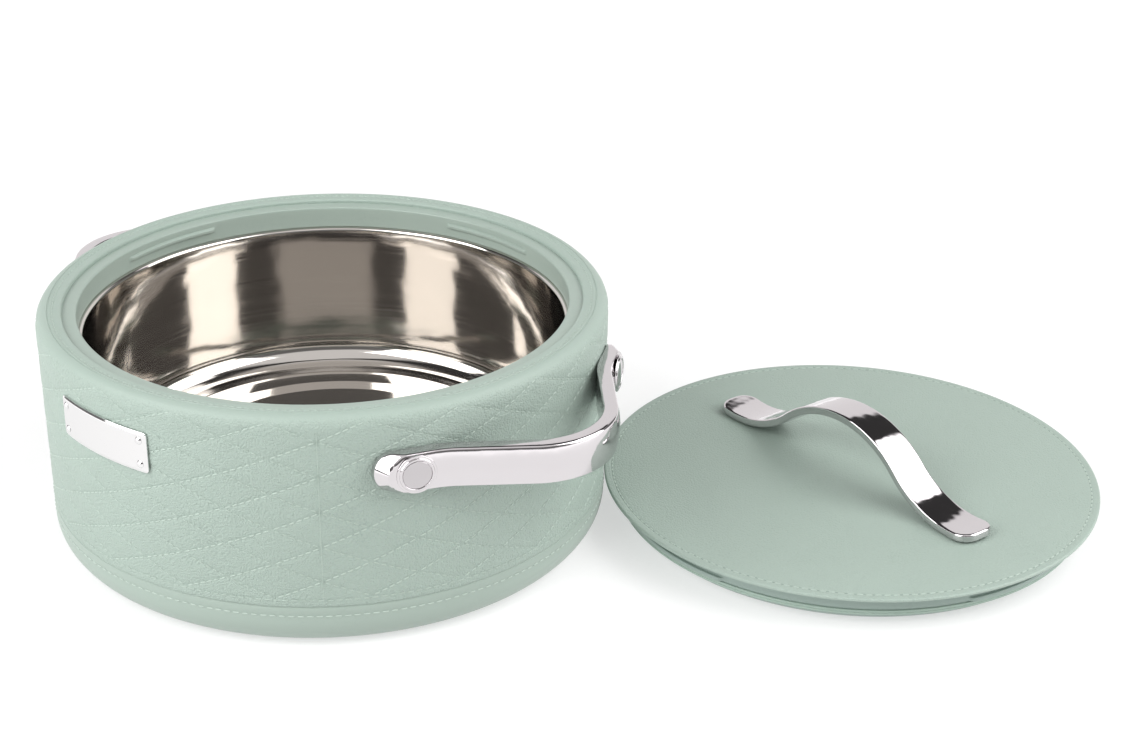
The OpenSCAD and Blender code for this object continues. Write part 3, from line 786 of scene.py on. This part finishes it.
def rib_share(angle, arc_len, ramp=1.4):
    """1 on a bayonet's arcs and 0 between them, with sloped ends."""
    pitch = 360 / BAYONETS
    off = abs((degrees(angle) + pitch / 2) % pitch - pitch / 2)
    return 1 - smooth(off, arc_len / 2 - ramp, arc_len / 2)


def mouth_collar():
    """The collar: the ledge that the lid sits on, the throat below it and four bayonet ribs in the throat."""
    rib_low = RIB_TOP - RIB_H
    under = LEDGE_Z - WALL
    ledge = arc((COLLAR_R + LEDGE_ROUND, LEDGE_Z - LEDGE_ROUND), LEDGE_ROUND, 90, 180, 5)
    slant_in, slant_up, rib_round = 0.4, 0.6, 0.75
    foot = [(COLLAR_R, BOWL_RIM_Z + slant_up), (COLLAR_R + slant_in, BOWL_RIM_Z),
            (COLLAR_R + WALL, BOWL_RIM_Z), (COLLAR_R + WALL, under), (FLANGE_OUT_R, under),
            (FLANGE_OUT_R, LEDGE_Z)]
    rib = ((0, RIB_TOP + RIB_EDGE), (rib_round, RIB_TOP), (1, RIB_TOP - RIB_EDGE), (1, rib_low + RIB_EDGE),
           (rib_round, rib_low), (0, rib_low - RIB_EDGE))

    def profile(angle):
        proud = RIB_PROUD * rib_share(angle, RIB_ARC)
        return ledge + [(COLLAR_R - share * proud, z) for share, z in rib] + foot

    turned_piece("mouth_collar", profile, 720, satin, "pot", "smooth_plastic", "rim_collar")


def steel_bowl():
    """The drawn bowl: a sunk disc, a sloping step, a fine bead, the fillet, the wall and the bent rim."""
    foot_c = (BOWL_R - BOWL_FILLET, FLOOR_Z + BOWL_FILLET)
    turn_c = (BOWL_R + BOWL_BEND, BOWL_RIM_Z - BOWL_BEND)
    step_out = SUNK_R + SLOPE_W
    inside = filleted([(0, SUNK_Z, 0), (SUNK_R, SUNK_Z, SLOPE_FILLET), (step_out, FLOOR_Z, SLOPE_FILLET),
                       (foot_c[0], FLOOR_Z, 0)], 8)[:-1]
    inside += [(BEAD_R + off, FLOOR_Z + rise) for off, rise in FLOOR_BEAD]
    inside += arc(foot_c, BOWL_FILLET, -90, 0, 18)
    inside += [(BOWL_R, foot_c[1] + (turn_c[1] - foot_c[1]) * k / 8) for k in range(1, 8)]
    inside += arc(turn_c, BOWL_BEND, 180, 90, 8)
    outside = [(BOWL_FLANGE_R, BOWL_RIM_Z), (BOWL_FLANGE_R, BOWL_RIM_Z - STEEL_T)]
    outside += arc(turn_c, BOWL_BEND - STEEL_T, 90, 180, 6) + arc(foot_c, BOWL_FILLET + STEEL_T, 0, -90, 12)
    outside += [(step_out, FLOOR_Z - STEEL_T), (SUNK_R, SUNK_Z - STEEL_T), (0, SUNK_Z - STEEL_T)]
    turned_piece("steel_bowl", inside + outside, 360, stainless, "pot", "polished_steel", "inner_bowl")


smooth_base()
mouth_collar()
steel_bowl()


# Straps and plate: a rounded outline laid along a path
def strip(name, half_len, half_w, corner, place, top, under, depths, along=140):
    """A strip with a rounded outline, as rings of like distance in from its edge, below and then above.

    place(s) gives the path's point, its way out and its way across. top and under give the height of the two
    faces off the path from a place's length s, its share of the half width and its distance in from the edge.
    """
    turn_steps, end_steps, inner_steps = 10, 12, 8
    a, b = half_len - corner, half_w - corner
    ring = []
    for start, (sx, sy) in zip((0, 90, 180, 270), ((1, 1), (-1, 1), (-1, -1), (1, -1))):
        turns = [radians(start + 90 / turn_steps * k) for k in range(turn_steps + 1)]
        ring += [(sx * a, sy * b, cos(turn), sin(turn)) for turn in turns]
        if start in (0, 180):
            ring += [(sx * a * (1 - 2 * k / along), sy * b, 0, sy) for k in range(1, along)]
        else:
            ring += [(sx * a, sy * b * (1 - 2 * k / end_steps), sx, 0) for k in range(1, end_steps)]
    inner = [corner + b * k / inner_steps for k in range(1, inner_steps + 1)] if b else []
    points, rings = [], []
    for face, order in ((under, reversed(depths + inner)), (top, depths + inner)):
        for depth in order:
            rings.append(len(points))
            past = max(0, depth - corner)
            for x, y, nx, ny in ring:
                s = x * (a - past) / a + max(0, corner - depth) * nx
                across = (y * (b - past) / b if b else 0) + max(0, corner - depth) * ny
                spot, out, side = place(s)
                height = face(s, across / half_w, depth)
                points.append(spot + side * across + out * height)
    faces = []
    for low, high in zip(rings, rings[1:]):
        for k in range(len(ring)):
            ahead = (k + 1) % len(ring)
            faces.append((low + k, low + ahead, high + ahead, high + k))
    return mesh_of(name, points, faces, 28)


def round_off(depth, radius):
    """How far a face falls at a distance in from its edge, where the edge has that radius."""
    return radius - sqrt(max(0, radius ** 2 - (radius - depth) ** 2)) if depth < radius else 0


def edge_depths(radius, limit, spacing=0.8):
    """Distances in from the edge that follow its rounding, then widen to the limit."""
    near = [radius * (1 - cos(radians(15 * k))) for k in range(7)]
    steps = max(2, round((limit - radius) / spacing))
    return near + [radius + (limit - radius) * k / steps for k in range(1, steps + 1)]


def side_strap_path():
    """The side strap's middle line by its length from the middle, its half length and its fixing's place."""
    bend_c = Vector((STRAP_REACH - STRAP_T / 2 - STRAP_BEND, 0, 0))
    sweep_c = (STRAP_MID + STRAP_SWEEP) * heading(FIXING) - STRAP_FLAT * heading(FIXING + pi / 2)
    apart = sweep_c - bend_c
    leg = atan2(apart.y, apart.x) + asin((STRAP_BEND + STRAP_SWEEP) / apart.length)
    bend_len = STRAP_BEND * (leg - pi / 2)
    leg_from = bend_c + STRAP_BEND * heading(leg - pi / 2)
    leg_to = sweep_c + STRAP_SWEEP * heading(leg + pi / 2)
    leg_len = (leg_to - leg_from).length
    sweep_len = STRAP_SWEEP * (leg - pi / 2 - FIXING)
    flat_from = bend_len + leg_len + sweep_len

    def place(s):
        d = abs(s)
        if d < bend_len:
            out = heading(d / STRAP_BEND)
            spot = bend_c + STRAP_BEND * out
        elif d < bend_len + leg_len:
            out = heading(leg - pi / 2)
            spot = leg_from + (leg_to - leg_from) * (d - bend_len) / leg_len
        elif d < flat_from:
            out = heading(leg - pi / 2 - (d - bend_len - leg_len) / STRAP_SWEEP)
            spot = sweep_c - STRAP_SWEEP * out
        else:
            out = heading(FIXING)
            spot = STRAP_MID * out + (d - flat_from - STRAP_FLAT) * heading(FIXING + pi / 2)
        if s < 0:
            spot, out = Vector((spot.x, -spot.y, 0)), Vector((out.x, -out.y, 0))
        return spot + UP * HANDLE_Z, out, UP

    return place, flat_from + STRAP_FLAT + STRAP_END, flat_from + STRAP_FLAT


def side_strap(name, node, turn):
    """One chrome strap: crowned, round edged, with nosed tips and its ends lying on the wall."""
    place, half_len, fixing_s = side_strap_path()
    edge, under_edge, crown = 1.2, 1.0, 1.3
    nose_from, nose_to = half_len - 17, half_len - 5
    nose_w, nose_fall, nose_edge = 5.5, 5, 0.6

    def top(s, share, depth):
        nose = nose_w * smooth(abs(s), nose_from, nose_to)
        fall = max(0, nose - depth) / nose_w * nose_fall
        off = max(round_off(depth, edge), fall + round_off(depth, nose_edge))
        return STRAP_T / 2 - crown * share ** 2 - off

    def under(s, share, depth):
        off = abs(s) - fixing_s
        low = STRAP_T / 2
        if off > -STRAP_FLAT:
            low = STRAP_MID - sqrt(STRAP_IN ** 2 - off ** 2)
        return -low + round_off(depth, under_edge)

    spin = Matrix.Rotation(turn, 3, "Z")
    half_w = STRAP_W / 2
    mesh = strip(name, half_len, half_w, half_w, lambda s: [spin @ v for v in place(s)], top, under,
                 edge_depths(edge, half_w), 200)
    piece(name, mesh, chrome, "pot", "bright_chrome", node)


def front_plate():
    """The bare bright plate, bent to the wall, with a narrow bevel along its edge."""
    mid = PLATE_OUT - PLATE_T / 2
    edge, bevel_w, bevel_fall, bevel_end = 0.3, 1.3, 0.6, 0.1

    def place(s):
        out = heading(s / mid - pi / 2)
        return mid * out + UP * PLATE_Z, out, UP

    def top(s, share, depth):
        return PLATE_T / 2 - max(round_off(depth, edge), bevel_fall * (1 - depth / bevel_w))

    def under(s, share, depth):
        return -PLATE_T / 2

    depths = edge_depths(edge, bevel_w) + [bevel_w + bevel_end, PLATE_CORNER]
    mesh = strip("front_plate", mid * asin(PLATE_W / 2 / mid), PLATE_H / 2, PLATE_CORNER, place, top, under,
                 depths, 60)
    piece("front_plate", mesh, nickel, "pot", "bright_chrome", "badge_plate")


def bolt_form():
    """A bolt with a round head: a low flange, a raised ring about a flat recess, and its shank."""
    recess = BUTTON_H - CAP_T
    profile = filleted([(0, -BOLT_LEN, 0), (BOLT_R, -BOLT_LEN, 0.5), (BOLT_R, 0, 0), (FLANGE_R, 0, 0.1),
                        (FLANGE_R, FLANGE_H, 0.35), (BUTTON_R + 0.2, FLANGE_H, 0.15),
                        (BUTTON_R, BUTTON_H, 0.5), (CAP_R + 0.25, BUTTON_H, 0.3), (CAP_R + 0.15, recess, 0),
                        (0, recess, 0)])
    return mesh_of("bolt_form", *lathe(profile, 64))


def cap_form():
    """The disc in a bolt's head, a little domed, with a rounded edge."""
    low = BUTTON_H - CAP_T
    profile = filleted([(0, low, 0), (CAP_R, low, 0), (CAP_R, BUTTON_H - 0.15, 0.3), (0, BUTTON_H, 0)])
    return mesh_of("cap_form", *lathe(profile, 64))


def rivet_form():
    """A dome rivet with its shank and tail."""
    dome = (RIVET_R ** 2 + RIVET_H ** 2) / (2 * RIVET_H)
    reach = degrees(acos((dome - RIVET_H) / dome))
    tail = RIVET_TAIL - RIVET_LEN
    profile = [(0, -RIVET_LEN), (RIVET_R, -RIVET_LEN), (RIVET_R, tail), (RIVET_SHANK_R, tail),
               (RIVET_SHANK_R, 0)]
    profile += arc((0, RIVET_H - dome), dome, 90 - reach, 90, 8)
    return mesh_of("rivet_form", *lathe(profile, 32))


def side_fixings():
    """The four bolts of the straps, with the discs in their heads."""
    ways = [heading(side + s * FIXING) for side in (0, pi) for s in (-1, 1)]
    heads = [(out * (STRAP_OUT + SEAT) + UP * HANDLE_Z, out) for out in ways]
    fasteners("button_heads", heads, bolt_form(), chrome, "pot", "bright_chrome", "handle_bolts")
    fasteners("button_discs", heads, cap_form(), disc_chrome, "pot", "bright_chrome", "bolt_caps")


def plate_rivets():
    """A rivet in each corner of the plate."""
    turn = asin((PLATE_W / 2 - RIVET_IN_X) / PLATE_OUT)
    rise = PLATE_H / 2 - RIVET_IN_Z
    ways = [(heading(s * turn - pi / 2), k * rise) for s in (-1, 1) for k in (-1, 1)]
    spots = [(out * (PLATE_OUT + SEAT / 2) + UP * (PLATE_Z + off), out) for out, off in ways]
    fasteners("plate_rivets", spots, rivet_form(), nickel, "pot", "bright_chrome", "badge_rivets")


side_strap("right_strap", "handle_right", 0)
side_strap("left_strap", "handle_left", pi)
side_fixings()
front_plate()
plate_rivets()


# Lid
def lid_top():
    """The flat cover: a thin round-edged lip, a shallow trough for its stitches and a ring below."""
    low = LID_TOP - COVER_T
    row = COVER_R - LID_ROW_IN
    trough = [(row + off, LID_TOP - sunk) for off, sunk in LID_TROUGH]
    profile = [(0, low), (RING_R - RING_T, low), (RING_R - RING_T, low - RING_H), (RING_R, low - RING_H)]
    profile += filleted([(RING_R, low, 0), (COVER_R - COVER_LIP_W, low, 2),
                         (COVER_R, LID_TOP - COVER_LIP_T, 0.3), (COVER_R, LID_TOP, COVER_ROUND),
                         (*trough[0], 0)])
    profile += trough[1:]
    profile += [(row * k / 6, LID_TOP) for k in range(5, -1, -1)]
    turned_piece("lid_top", profile, 360, fine_grained, "lid", "quilted_shell", "lid_cover", LID)
    count = round(2 * pi * row / LID_STITCH[0])
    pitch = 2 * pi * row / count * RING_FIT
    for name, kind, material, turn in (("lid_stitches", LID_STITCH, lit_thread, 0.0),
                                       ("lid_stitch_holes", LID_HOLE, stitch_hole, pi / count)):
        run = ring_run(row, LID_TOP - LID_SUNK, (0, 1), LID, 4 * count, turn)
        stitches(name, [run], (pitch, *kind[1:]), material, "lid", "quilted_shell", True)


def lid_skirt():
    """The plug under the cover: a rounded cup with four lugs and a groove for the seal."""
    centre = (PLUG_R - PLUG_EDGE, PLUG_LOW + PLUG_EDGE)
    groove_low, groove_high = seal_low.z - GROOVE_GAP, seal_high.z + GROOVE_GAP
    lug_low = LUG_TOP - LUG_H
    lug_round, lug_slant = 0.85, 0.02
    cuts = [degrees(asin((z - centre[1]) / PLUG_EDGE)) for z in (groove_low, groove_high, lug_low - LUG_EDGE)]
    below = [(0, PLUG_LOW)] + arc(centre, PLUG_EDGE, -90, cuts[0], 12)
    below += [(GROOVE_R, groove_low), (GROOVE_R, groove_high)] + arc(centre, PLUG_EDGE, cuts[1], cuts[2], 3)
    inside = [(PLUG_R, PLUG_TOP), (PLUG_R - PLUG_T, PLUG_TOP)]
    inside += arc(centre, PLUG_EDGE - PLUG_T, 0, -90, 8) + [(0, PLUG_LOW + PLUG_T)]

    def profile(angle):
        proud = (LUG_R - PLUG_R) * rib_share(angle - LID_TURN, LUG_ARC)
        out = PLUG_R + proud
        lug = [(out - LUG_EDGE / 2, lug_low), (out, lug_low + LUG_EDGE), (out, LUG_TOP - LUG_EDGE),
               (PLUG_R + proud * lug_round, LUG_TOP), (PLUG_R, LUG_TOP + lug_slant)]
        return below + lug + inside

    turned_piece("lid_skirt", profile, 720, skirt, "lid", "smooth_plastic", "lid_plug", LID)


def lid_sealing_ring():
    """The seal: a band with two soft lips that stand out of the plug."""
    low, high = seal_low.z, seal_high.z
    mid = (low + high) / 2
    back = GROOVE_R + GROOVE_GAP
    notch_half, notch_depth = 0.25, 0.7
    profile = filleted([(back, low, 0.3), (SEAL_R, low, 0.35), (SEAL_R, mid - notch_half, 0.2),
                        (SEAL_R - notch_depth, mid, 0.2), (SEAL_R, mid + notch_half, 0.2),
                        (SEAL_R, high, 0.35), (back, high, 0.3)], 4)
    turned_piece("lid_sealing_ring", profile, 360, silicone, "seal", "seal_rubber", "lid_seal", LID)


def lid_arch():
    """The lid's chrome strap: an arch whose two feet rest on the cover and turn up into round tips."""
    rise = ARCH_H - ARCH_T
    foot_bend = (FOOT_X ** 2 + rise ** 2) / (2 * rise) - ARCH_BEND
    spread = asin(FOOT_X / (ARCH_BEND + foot_bend))
    rest = LID_TOP + SEAT + ARCH_T / 2
    arch_len = ARCH_BEND * spread
    tip_from = arch_len + foot_bend * (spread + TIP_CURL)
    tip_x = FOOT_X + foot_bend * sin(TIP_CURL)
    half_len = tip_from + (TIP_X - tip_x) / cos(TIP_CURL)
    edge, under_edge, crown = 1.2, 1.1, 0.12
    lengthwise, sideways = heading(LID_TURN), heading(LID_TURN + pi / 2)

    def place(s):
        d = abs(s)
        if d < arch_len:
            lean = d / ARCH_BEND
            x, z = ARCH_BEND * sin(lean), rest + rise - ARCH_BEND * (1 - cos(lean))
        else:
            lean = max(spread - (d - arch_len) / foot_bend, -TIP_CURL)
            past = max(0, d - tip_from)
            x = FOOT_X - foot_bend * sin(lean) + past * cos(lean)
            z = rest + foot_bend * (1 - cos(lean)) - past * sin(lean)
        way = 1 if s > 0 else -1
        wide = (ARCH_W + (TIP_W - ARCH_W) * (x / TIP_X) ** 2) / TIP_W
        spot = Vector((*LID, z)) + lengthwise * x * way
        return spot, lengthwise * sin(lean) * way + UP * cos(lean), sideways * wide

    def top(s, share, depth):
        return ARCH_T / 2 - crown * share ** 2 - round_off(depth, edge)

    def under(s, share, depth):
        return round_off(depth, under_edge) - ARCH_T / 2

    depths = edge_depths(edge, TIP_ROUND)
    mesh = strip("lid_arch", half_len, TIP_W / 2, TIP_ROUND, place, top, under, depths, 200)
    piece("lid_arch", mesh, chrome, "lid", "bright_chrome", "lid_handle")


lid_top()
lid_skirt()
lid_sealing_ring()
lid_arch()

# Solids that lie inside keep their own shape, and take a finish
for finish, nodes in ((foam, ("foam_fill", "lid_foam")), (silicone, ("fill_plug",)),
                      (zinc, ("handle_washers", "handle_nuts", "lid_screws", "lid_washers"))):
    for node in nodes:
        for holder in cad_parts[node].material_slots:
            holder.material = finish


# Stage, in metres: the ways to the white wall and the round lamp, and the point that the soft lights face
BACKDROP = (-0.74, 0.673, 0)
LAMP = (0.293, 0.602, 0.743)
AIM = (0, 0, 0.06)
FLOOR_HALF = 6


def glowing_floor_finish():
    # A matt white floor that glows, though it is no lamp: painted light, bright under the pot to keep shadows
    # pale, a little dimmer further out and brightest towards its edges
    material, tree, place = new_finish("glowing_white_floor")
    away = add(tree, "VectorMath", (place,), operation="LENGTH").outputs["Value"]
    near = add(tree, "MapRange", (away, 0.27, 0.38, 0.53, 0.5), **SOFT)
    far = add(tree, "MapRange", (away, 0.5, 1.3, 0.0, 0.45), **SOFT)
    glow = add(tree, "Math", (near, far), operation="ADD")
    haze = add(tree, "TexNoise", {"Vector": place, "Scale": per_mm(3), "Detail": 3.0})
    tone = add(tree, "Mix", {0: haze, 6: "#b6b6b6", 7: "#b2b2b2"}, data_type="RGBA")
    return shaded(material, Base_Color=tone.outputs[2], Roughness=0.9, Specular_IOR_Level=0.1,
                  Emission_Color="#ffffff", Emission_Strength=glow)


def stage():
    """A pale floor wide enough to fill the view."""
    mesh = bpy.data.meshes.new("paper_floor")
    sides = ((-1, -1), (1, -1), (1, 1), (-1, 1))
    mesh.from_pydata([(x * FLOOR_HALF, y * FLOOR_HALF, 0) for x, y in sides], [], [(0, 1, 2, 3)])
    mesh.materials.append(glowing_floor_finish())
    paper = placed("paper_floor", mesh)


def softbox(name, at, size, watts):
    """A rectangular soft light that faces the pot."""
    lamp = bpy.data.lights.new(name, "AREA")
    lamp.shape = "RECTANGLE"
    lamp.size, lamp.size_y = size
    lamp.energy = watts
    box = placed(name, lamp)
    box.location = at
    box.rotation_euler = (Vector(AIM) - Vector(at)).to_track_quat("-Z", "Y").to_euler()


def studio_air():
    """The room around: a white wall behind the pot and dim ones beside it, a ceiling that is white above the
    camera and dark above the pot, and one round lamp high up."""
    world = bpy.data.worlds.new("studio_room")
    bpy.context.scene.world = world
    world.use_nodes = True
    tree = world.node_tree
    tree.nodes.clear()
    way = add(tree, "TexCoord").outputs["Generated"]
    height = add(tree, "SeparateXYZ", (way,)).outputs["Z"]
    level = add(tree, "VectorMath", (way, (1, 1, 0)), operation="MULTIPLY")
    level = add(tree, "VectorMath", (level,), operation="NORMALIZE")
    behind = add(tree, "VectorMath", (level, BACKDROP), operation="DOT_PRODUCT")
    walls = add(tree, "MapRange", (behind.outputs["Value"], 0.6, 0.76, 0.2, 1.08), **SOFT)
    ceiling = add(tree, "MapRange", (behind.outputs["Value"], -0.5, 0.0, 0.95, 0.05), **SOFT)
    above = add(tree, "MapRange", (height, 0.555, 0.6), **SOFT)
    tone = add(tree, "Mix", {0: above, 2: walls, 3: ceiling})
    lamp = add(tree, "VectorMath", (way, LAMP), operation="DOT_PRODUCT")
    lamp = add(tree, "MapRange", (lamp.outputs["Value"], 0.974, 0.98))
    lit = add(tree, "Mix", {0: lamp, 2: tone, 3: 2.6})
    air = add(tree, "Background", {"Color": "#f6f4f4", "Strength": lit})
    add(tree, "OutputWorld", {"Surface": air})


def camera():
    """The photograph's view: a 66 mm lens on a 36 mm frame, turned a little about its axis."""
    lens = bpy.data.cameras.new("view")
    lens.sensor_fit = "HORIZONTAL"
    lens.sensor_width = 36
    lens.lens = 65.87
    roll = 0.0122
    ahead = Vector((-0.5853, 0.6853, -0.4333)).normalized()
    level = ahead.cross(UP).normalized()
    upright = level.cross(ahead)
    right = level * cos(roll) + upright * sin(roll)
    up = upright * cos(roll) - level * sin(roll)
    view = placed("view", lens)
    view.matrix_world = Matrix((right, up, -ahead)).transposed().to_4x4()
    view.location = (0.7467, -0.6794, 0.5614)
    bpy.context.scene.camera = view


stage()
studio_air()
softbox("left_box", at=(-0.41, -1.44, 1), size=(1.65, 1.7), watts=40)
softbox("right_box", at=(1.31, 0.73, 1), size=(1.6, 1.7), watts=31)
camera()
bpy.context.scene.view_settings.view_transform = "Standard"
